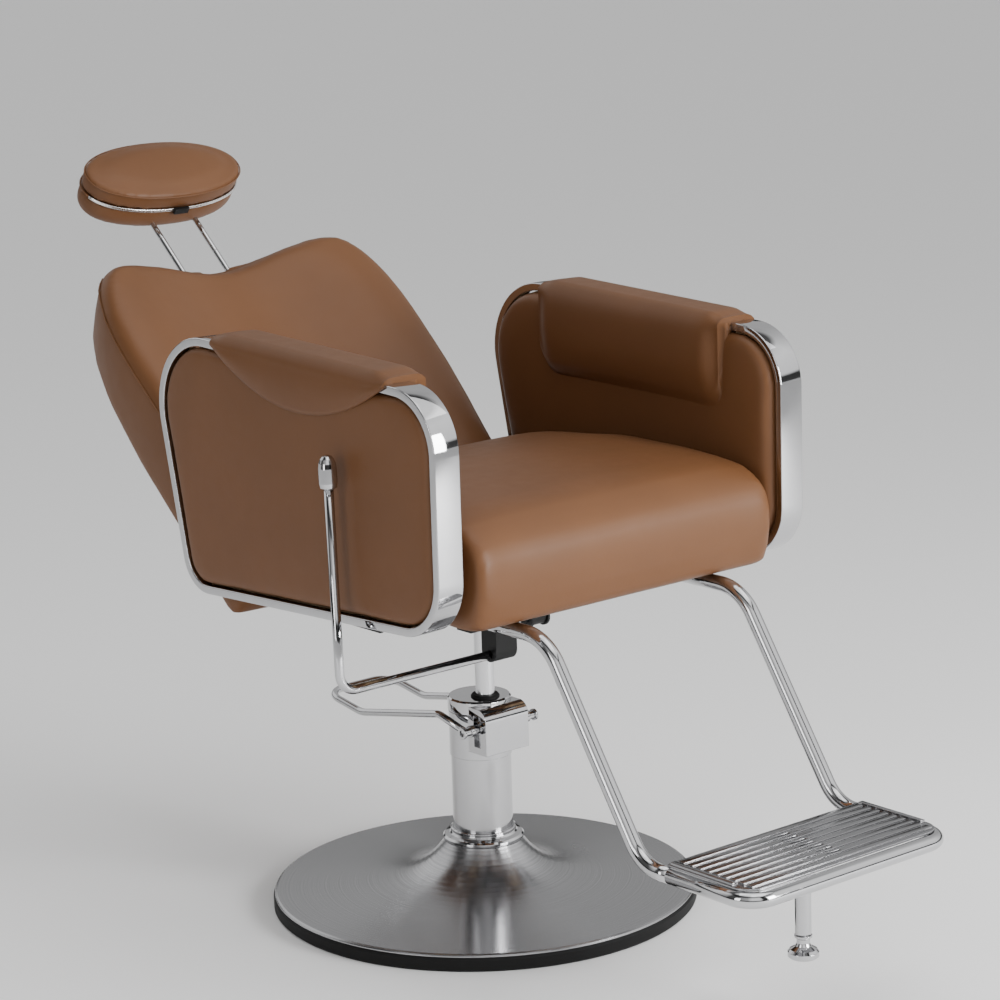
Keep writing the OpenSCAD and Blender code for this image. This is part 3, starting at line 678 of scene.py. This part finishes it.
# Up the back from its hinge line: (height, half width) in front, (height, half width) behind,
# then (height, depth) of its rear face
FRONT_WIDTH = [(BACK_LOW, 0.238), (-0.06, 0.246), (0.0, 0.251), (0.06, 0.257), (0.12, 0.264),
               (0.19, 0.270), (0.29, 0.272), (0.34, 0.2705), (0.385, 0.265), (0.425, 0.253),
               (0.445, 0.244), (0.462, 0.231), (0.474, 0.216), (0.482, 0.199), (BACK_TOP, 0.176)]
REAR_WIDTH = [(BACK_LOW, 0.256), (0.024, 0.258), (0.2, 0.264), (0.3, 0.264), (0.37, 0.256),
              (0.42, 0.240), (0.455, 0.217), (0.474, 0.190), (BACK_TOP, 0.160)]
REAR_DEPTH = [(BACK_LOW, 0.120), (-0.066, 0.126), (0.2, 0.114), (0.3, 0.104), (0.405, 0.090),
              (0.45, 0.080), (BACK_TOP, 0.066)]


def back_front_y(x):
    """The front face, hollow between its two wings."""
    return WING_Y + HOLLOW * (1 - smooth(abs(x) / 0.238))


def back_dip(x, z):
    """The dip between the shoulders, where the headrest's rods go in."""
    fade = smooth((z - 0.30) / 0.17)
    return -0.019 * fade * 0.5 * (1 + math.cos(math.pi * min(1, abs(x) / 0.135)))


def back_half_ring(z):
    """Half the outline across the back at one height, from the middle of the front round the
    side to the middle of the rear, as (x, y)."""
    top_soft, low_soft = 0.030, 0.010
    over = min(1.0, max(0.0, (z - (BACK_TOP - top_soft)) / top_soft))
    under = min(1.0, max(0.0, (BACK_LOW + low_soft - z) / low_soft))
    draw = top_soft * 0.92 * (1 - math.sqrt(1 - over ** 2 * 0.97))
    tuck = low_soft * (1 - math.sqrt(1 - under ** 2 * 0.97))
    front_w, rear_w = along(FRONT_WIDTH, z) - tuck, along(REAR_WIDTH, z) - tuck
    rear = along(REAR_DEPTH, z) - draw * 0.8 - tuck * 0.6
    lift = draw + tuck * 0.8
    soft, tight = 0.024, 0.010
    out = []
    for k in range(15):
        x = (front_w - soft) * k / 14
        out.append((x, back_front_y(x) + lift))
    y0 = back_front_y(front_w - soft) + lift
    for k in range(1, 8):
        a = math.pi / 2 * k / 7
        out.append((front_w - soft + soft * math.sin(a), y0 + soft * (1 - math.cos(a))))
    y1 = rear - tight
    for k in range(1, 8):
        t = k / 8
        out.append((front_w + (rear_w - front_w) * t + 0.0025 * math.sin(math.pi * t),
                    y0 + soft + (y1 - y0 - soft) * t))
    for k in range(0, 6):
        a = math.pi / 2 * k / 5
        out.append((rear_w - tight + tight * math.cos(a), y1 + tight * math.sin(a)))
    for k in range(1, 13):
        x = (rear_w - tight) * (1 - k / 12)
        out.append((x, rear + 0.006 * (1 - (x / rear_w) ** 2)))
    return out


def back_tail(y, z):
    """The rear of the lower edge hangs below its front."""
    return -TAIL * (1 - smooth((z - BACK_LOW) / 0.07)) * smooth((y - 0.02) / 0.10)


def back_ring(z):
    half = back_half_ring(z)
    outline = half + [(-x, y) for x, y in reversed(half[1:-1])]
    return [BACK_FRAME @ Vector((x, y, z + back_dip(x, z) + back_tail(y, z)))
            for x, y in outline]


def build_back():
    heights = [BACK_LOW + 0.010 * (1 - math.cos(math.pi / 2 * k / 5)) for k in range(6)]
    steps = 26
    top = BACK_TOP - 0.030
    heights += [BACK_LOW + 0.02 + (top - BACK_LOW - 0.02) * k / steps for k in range(steps)]
    heights += [top + 0.030 * math.sin(math.pi / 2 * k / 9) for k in range(10)]
    obj = loft("back_upholstery", [back_ring(z) for z in heights])
    inverse = BACK_FRAME.inverted()

    def held(point):
        local = inverse @ point
        low = 1 - smooth((local.z - BACK_LOW) / 0.08)
        corner = smooth((local.y - 0.03) / 0.05)
        rim = smooth((abs(local.x) - along(FRONT_WIDTH, local.z) + 0.035) / 0.02)
        return max(low, corner, rim, 0.1)

    puff(obj, 0.007, 0.006, 3.0, held)
    cushion(obj, "back", "back_cushion", "back_shell", fill=0.75)
    # The seams that join the front panel to the sides
    seam_at, last = 21, BACK_TOP - 0.020
    side = []
    for k in range(46):
        z = BACK_LOW + 0.006 + (last - BACK_LOW - 0.006) * k / 45
        x, y = back_half_ring(z)[seam_at]
        side.append((x, y, z + back_dip(x, z)))
    for tag, part in (("left", side), ("right", [(-x, y, z) for x, y, z in side])):
        welt("back_seam_" + tag, [BACK_FRAME @ Vector(p) for p in part], "back", 0.0013, False)


def seat_profile():
    """Side outline of the seat cushion, as (y, z), front first."""
    low = SEAT_LOW[2]
    top = SEAT_HIGH[2]
    front = SEAT_LOW[1]
    return curve_through([
        (front + 0.030, low), (front + 0.010, low + 0.016), (front, low + 0.050),
        (front, low + 0.088), (front + 0.009, low + 0.112), (front + 0.028, top - 0.022),
        (front + 0.062, top - 0.010), (-0.200, top - 0.003), (-0.120, top), (-0.040, top - 0.002),
        (0.060, top - 0.012), (0.150, top - 0.026), (0.193, top - 0.035), (0.206, top - 0.046),
        (0.189, low + 0.085), (0.154, low + 0.036), (0.142, low + 0.006), (0.136, low),
        (0.0, low), (-0.200, low)], 5)


def side_place(a, b, x):
    """Stands an outline given as (y, z) up at a distance x from the middle."""
    return Vector((x, a, b))


def build_seat():
    """A thick cushion that crowns in the middle and rolls over at its front edge."""
    half = SEAT_HIGH[0]
    low = SEAT_LOW[2]
    obj = pad_mesh("seat_upholstery", seat_profile(), -half + 0.002, half - 0.002, 0.016, 0.016,
                   0.002, 0.002, side_place, 5, 6)
    crown = 0.006
    for v in obj.data.vertices:
        across = max(0.0, 1 - (v.co.x / half) ** 2)
        v.co.z += crown * across * smooth((v.co.z - low - 0.06) / 0.06)
        v.co.y -= crown * across * smooth((-0.25 - v.co.y) / 0.06)

    def held(point):
        base = 1 - smooth((point.z - low) / 0.03)
        rear = smooth((point.y - 0.10) / 0.08)
        side = smooth((abs(point.x) - half + 0.03) / 0.03)
        return max(base, rear, 0.7 * side)

    puff(obj, 0.008, 0.012, 4.0, held, 45)
    cushion(obj, "seat", "seat_cushion", fill=0.8)


def build_arm_panels():
    """Upholstered panels that fill the loop: a flat one outside, a fuller one inside."""
    outline = arm_outline(BAR + 0.0012, 10)
    outer = pad_mesh("arm_panel_outer_left", outline, OUTER_LOW[0], OUTER_HIGH[0] + 0.001,
                     0.002, 0.005, 0.0, 0.003, side_place)
    puff(outer, 0.005, 0.003, 2.0, lambda p: 1 - smooth((p.x - OUTER_LOW[0]) / 0.01), 12)
    copy = mirrored(outer, "arm_panel_outer_right")
    cushion(outer, "seat", "arm_outer_left", fill=0.6)
    cushion(copy, "seat", "arm_outer_right", fill=0.6)
    inner = pad_mesh("arm_panel_inner_left", outline, INNER_LOW[0] + 0.002, INNER_HIGH[0],
                     0.012, 0.002, 0.006, 0.0, side_place)
    puff(inner, 0.005, 0.006, 3.0, lambda p: smooth((p.x - INNER_LOW[0] - 0.006) / 0.01))
    copy = mirrored(inner, "arm_panel_inner_right")
    cushion(inner, "seat", "arm_inner_left", fill=0.7)
    cushion(copy, "seat", "arm_inner_right", fill=0.7)


def build_arm_pads():
    """One folded cover on each arm: thin half-moon flap outside, thick flap inside."""
    front = PAD_LOW[1] + 0.002
    rear = PAD_HIGH[1] - 0.002
    outer_x = ARM_HIGH[0]
    inner_x = PAD_LOW[0]
    panel_x = INNER_LOW[0] - 0.0008
    rows_y, rows_out, rows_top, rows_in = 44, 10, 12, 16
    moon_depth, moon_edge = 0.064, 0.004
    flap_depth, corner = 0.128, 0.036

    def section(t):
        y = front + (rear - front) * t
        top = ARM_CORNERS[0][1] + (y - ARM_CORNERS[0][0]) * ARM_SLOPE
        moon = moon_depth * max(0.0, 1 - (2 * t - 1) ** 2) + moon_edge
        ends = min(t, 1 - t) * (rear - front)
        lift = corner - math.sqrt(max(0.0, corner ** 2 - max(0.0, corner - ends) ** 2))
        drop = flap_depth - lift
        fat = smooth(ends / 0.03)
        skin_out, skin_in = [], []
        for k in range(rows_out):                      # up the outer flap
            s = k / rows_out
            z = top - moon * (1 - s)
            plump = 0.0035 * math.sin(math.pi * min(1, s + 0.05)) * fat
            skin_out.append((outer_x + 0.0042 + plump, z))
            skin_in.append((outer_x + 0.0005, z))
        for k in range(rows_top + 1):                  # over the top of the bar
            s = k / rows_top
            x = outer_x + 0.0045 + (inner_x + 0.001 - outer_x - 0.0045) * s
            edge = min(s, 1 - s) * rows_top / 2.0
            crown = 0.0125 * math.sin(min(1.0, edge) * math.pi / 2)
            z = top + crown * (0.55 + 0.45 * fat) + 0.0018 * math.sin(math.pi * s)
            skin_out.append((x, z))
            skin_in.append((min(max(x, panel_x), outer_x + 0.0005), top + 0.0006))
        for k in range(1, rows_in + 1):                # down the inner flap
            s = k / rows_in
            z = top - drop * s
            belly = 0.008 * math.sin(math.pi * min(1.0, s * 1.02)) ** 0.7 * fat if s < 1 else 0
            close = smooth((1 - s) / 0.16)
            x = inner_x + 0.001 - belly + (1 - close) * 0.008
            skin_out.append((x, z))
            skin_in.append((panel_x - (1 - close) * 0.006, z))
        ring = skin_out + list(reversed(skin_in))
        return [Vector((x, y, z)) for x, z in ring]

    rings = [section(0.5 - 0.5 * math.cos(math.pi * k / rows_y)) for k in range(rows_y + 1)]
    pad = loft("arm_cover_left", rings)

    def held(point):
        ends = min(point.y - front, rear - point.y)
        return max(smooth((point.x - inner_x - 0.004) / 0.006), 1 - smooth(ends / 0.035))

    puff(pad, None, 0.006, 3.0, held, 6)
    copy = mirrored(pad, "arm_cover_right")
    cushion(pad, "seat", "arm_pad_left", fill=0.65)
    cushion(copy, "seat", "arm_pad_right", fill=0.65)


HEAD_FRAME = (Matrix.Translation(HEAD_AXIS) @ Matrix.Rotation(-RECLINE - HEAD_LEAN, 4, "X")
              @ Matrix.Translation(Vector((0, -0.023, 0.014))))
# Half width and half height of the oval headrest, and how far it reaches to front and rear
HEAD_HALF = 0.141
HEAD_HIGH = 0.066
HEAD_FRONT = 0.037
HEAD_REAR = 0.047
OVAL_STEPS = 72
OVAL_POWER = 0.92


def oval(grow):
    """The headrest's outline, slightly squarer than an ellipse, from the sitter's left side
    over the top."""
    out = []
    for k in range(OVAL_STEPS):
        a = 2 * math.pi * k / OVAL_STEPS
        c, s = math.cos(a), math.sin(a)
        out.append(((HEAD_HALF + grow) * math.copysign(abs(c) ** OVAL_POWER, c),
                    (HEAD_HIGH + grow) * math.copysign(abs(s) ** OVAL_POWER, s)))
    return out


def head_place(a, b, y):
    return HEAD_FRAME @ Vector((a, y, b))


def build_headrest():
    """Two oval halves, with a zip round the lower edge between them and seams above."""
    front = pad_mesh("headrest_face", oval(0), -HEAD_FRONT + 0.007, -0.0012, 0.007, 0.002,
                     0.005, 0.0, head_place, 8, 6)
    inverse = HEAD_FRAME.inverted()

    def face_held(point):
        local = inverse @ point
        out = math.hypot(local.x / HEAD_HALF, local.z / HEAD_HIGH)
        return max(1 - smooth((-0.015 - local.y) / 0.01), smooth((out - 0.72) / 0.16))

    puff(front, 0.0045, 0.005, 3.0, face_held, 12)
    cushion(front, "headrest", "headrest_front", fill=0.75)
    rear = pad_mesh("headrest_body", oval(0), 0.0012, HEAD_REAR - 0.006, 0.002, 0.022,
                    0.0, 0.006, head_place, 8, 8)
    puff(rear, 0.0050, 0.004, 3.0, lambda p: 1 - smooth(((inverse @ p).y - 0.004) / 0.01))
    cushion(rear, "headrest", "headrest_rear", fill=0.75)
    rim = oval(0.0004)
    lower = [p for p in rim[OVAL_STEPS // 2:] + rim[:1] if p[1] < -0.010]
    line = [head_place(a, b, 0.0) for a, b in lower]
    trim = sweep("headrest_zip", line, bar_section(0.0046, 0.0036, 0.0012), False)
    finish_piece(trim, "headrest", ZIP, "polished_chrome", "headrest_piping")
    ordered = [p for p in rim[-8:] + rim[:45] if p[1] > -0.014]
    welt("headrest_seam", [head_place(a, b, 0.0) for a, b in ordered], "headrest", 0.0016, False)
    face = [head_place(a, b, -HEAD_FRONT + 0.0125) for a, b in oval(0.0002)]
    welt("headrest_face_seam", face, "headrest", 0.0011)


def build_tread():
    """The ribbed plate with its edges rounded off."""
    source = frame["nodes"]["footrest_plate"]
    mesh = source.data.copy()
    mesh.transform(source.matrix_world)
    bm = bmesh.new()
    bm.from_mesh(mesh)
    bmesh.ops.remove_doubles(bm, verts=bm.verts, dist=1e-6)
    bmesh.ops.dissolve_limit(bm, angle_limit=math.radians(1), verts=bm.verts, edges=bm.edges)
    bm.to_mesh(mesh)
    bm.free()
    obj = new_object("footrest_tread", mesh)
    bevel = obj.modifiers.new("round", "BEVEL")
    bevel.width = 0.0016
    bevel.segments = 3
    bevel.limit_method = "ANGLE"
    bevel.angle_limit = math.radians(40)
    apply_modifiers(obj)
    obj.data.set_sharp_from_angle(angle=math.radians(40))
    finish_piece(obj, "seat", SATIN, "polished_chrome", "footrest_plate")


def build_scene():
    dress_nodes()
    build_arm_loops()
    build_footrest_tubes()
    build_pedal()
    build_lever()
    build_back()
    build_seat()
    build_arm_panels()
    build_arm_pads()
    build_headrest()
    build_tread()


# ---------------------------------------------------------------- stage, light and camera
def build_stage():
    """A wide pale floor."""
    mesh = bpy.data.meshes.new("floor")
    size = 60.0
    mesh.from_pydata([(-size, -size, 0), (size, -size, 0), (size, size, 0), (-size, size, 0)],
                     [], [(0, 1, 2, 3)])
    floor = new_object("floor", mesh)
    mat, tree, shader = nodes_of("pale_floor")
    noise = add(tree, "ShaderNodeTexNoise", Scale=2.0, Detail=2.0)
    tree.links.new(ramp(tree, noise.outputs["Fac"], 0.3, 0.7, (0.93, 0.93, 0.93),
                        (0.95, 0.95, 0.95)), shader.inputs["Base Color"])
    shader.inputs["Roughness"].default_value = 0.8
    floor.data.materials.append(mat)


def stepped(tree, stops):
    """A grey ramp with a value at each stop."""
    node = tree.nodes.new("ShaderNodeValToRGB")
    elements = node.color_ramp.elements
    for element, (position, value) in zip((elements[0], elements[1]), (stops[0], stops[-1])):
        element.position = position
        element.color = (value, value, value, 1)
    for position, value in stops[1:-1]:
        elements.new(position).color = (value, value, value, 1)
    return node


def build_world():
    """Soft white studio with dark gaps between its cards, which give the chrome its contrast.
    Seen directly, it is plain white."""
    world = bpy.data.worlds.new("studio")
    bpy.context.scene.world = world
    world.use_nodes = True
    tree = world.node_tree
    link = tree.links.new
    back = tree.nodes["Background"]
    coords = tree.nodes.new("ShaderNodeTexCoord").outputs["Generated"]
    parts = tree.nodes.new("ShaderNodeSeparateXYZ")
    link(coords, parts.inputs["Vector"])
    height = stepped(tree, [(0.0, 0.9), (0.49, 0.9), (0.505, 0.05), (0.57, 0.04), (0.60, 0.85),
                            (0.80, 1.0), (0.86, 0.9), (0.89, 0.12), (0.93, 0.12), (0.96, 1.0),
                            (1.0, 1.0)])
    unit = tree.nodes.new("ShaderNodeMapRange")
    unit.inputs["From Min"].default_value = -1.0
    unit.inputs["From Max"].default_value = 1.0
    link(parts.outputs["Z"], unit.inputs["Value"])
    link(unit.outputs["Result"], height.inputs["Fac"])
    turn = tree.nodes.new("ShaderNodeMath")
    turn.operation = "ARCTAN2"
    link(parts.outputs["Y"], turn.inputs[0])
    link(parts.outputs["X"], turn.inputs[1])
    part = tree.nodes.new("ShaderNodeMapRange")
    part.inputs["From Min"].default_value = -math.pi
    part.inputs["From Max"].default_value = math.pi
    link(turn.outputs["Value"], part.inputs["Value"])
    around = stepped(tree, [(0.0, 0.30), (0.09, 0.45), (0.13, 1.0), (0.21, 1.0), (0.235, 0.05),
                            (0.272, 0.05), (0.29, 1.0), (0.44, 1.0), (0.52, 0.6), (0.58, 0.42),
                            (0.68, 0.40), (0.72, 0.9), (0.84, 0.8), (0.90, 0.08), (0.96, 0.08),
                            (1.0, 0.30)])
    link(part.outputs["Result"], around.inputs["Fac"])
    product = tree.nodes.new("ShaderNodeMix")
    product.data_type = "RGBA"
    product.blend_type = "MULTIPLY"
    product.inputs["Factor"].default_value = 1.0
    link(height.outputs["Color"], product.inputs["A"])
    link(around.outputs["Color"], product.inputs["B"])
    link(product.outputs["Result"], back.inputs["Color"])
    back.inputs["Strength"].default_value = 1.5
    white = tree.nodes.new("ShaderNodeBackground")
    white.inputs["Color"].default_value = (1, 1, 1, 1)
    white.inputs["Strength"].default_value = 1.6
    path = tree.nodes.new("ShaderNodeLightPath")
    mix = tree.nodes.new("ShaderNodeMixShader")
    link(path.outputs["Is Camera Ray"], mix.inputs["Fac"])
    link(back.outputs["Background"], mix.inputs[1])
    link(white.outputs["Background"], mix.inputs[2])
    link(mix.outputs["Shader"], tree.nodes["World Output"].inputs["Surface"])


def area_light(name, place, target, size, power):
    """A rectangular lamp that faces a point."""
    data = bpy.data.lights.new(name, "AREA")
    data.shape = "RECTANGLE"
    data.size, data.size_y = size
    data.energy = power
    light = new_object(name, data)
    light.location = place
    direction = Vector(target) - Vector(place)
    light.rotation_euler = direction.to_track_quat("-Z", "Y").to_euler()


def build_lights():
    middle = (0.0, 0.0, 0.55)
    area_light("key", (1.3, -3.6, 1.5), middle, (1.6, 1.8), 180)
    area_light("left", (-3.2, -0.6, 1.2), middle, (1.0, 1.6), 20)
    area_light("top", (0.3, -0.6, 3.4), middle, (3.0, 3.0), 38)


def build_camera():
    """Camera 39 degrees round to the sitter's right and 13 degrees down, on a long lens."""
    place = Vector((-2.8344, -3.4728, 1.6183))
    heading, tilt, roll = math.radians(39.72), math.radians(12.82), math.radians(-1.75)
    forward = Vector((math.sin(heading) * math.cos(tilt), math.cos(heading) * math.cos(tilt),
                      -math.sin(tilt)))
    right = Vector((math.cos(heading), -math.sin(heading), 0))
    up = right.cross(forward)
    x = math.cos(roll) * right + math.sin(roll) * up
    y = -math.sin(roll) * right + math.cos(roll) * up
    data = bpy.data.cameras.new("camera")
    data.sensor_width = 36
    data.lens = 115.2
    data.clip_end = 60
    camera = new_object("camera", data)
    basis = Matrix((x, y, -forward)).transposed().to_4x4()
    camera.matrix_world = Matrix.Translation(place) @ basis
    bpy.context.scene.camera = camera


build_camera()
build_world()
build_lights()
build_stage()
build_scene()
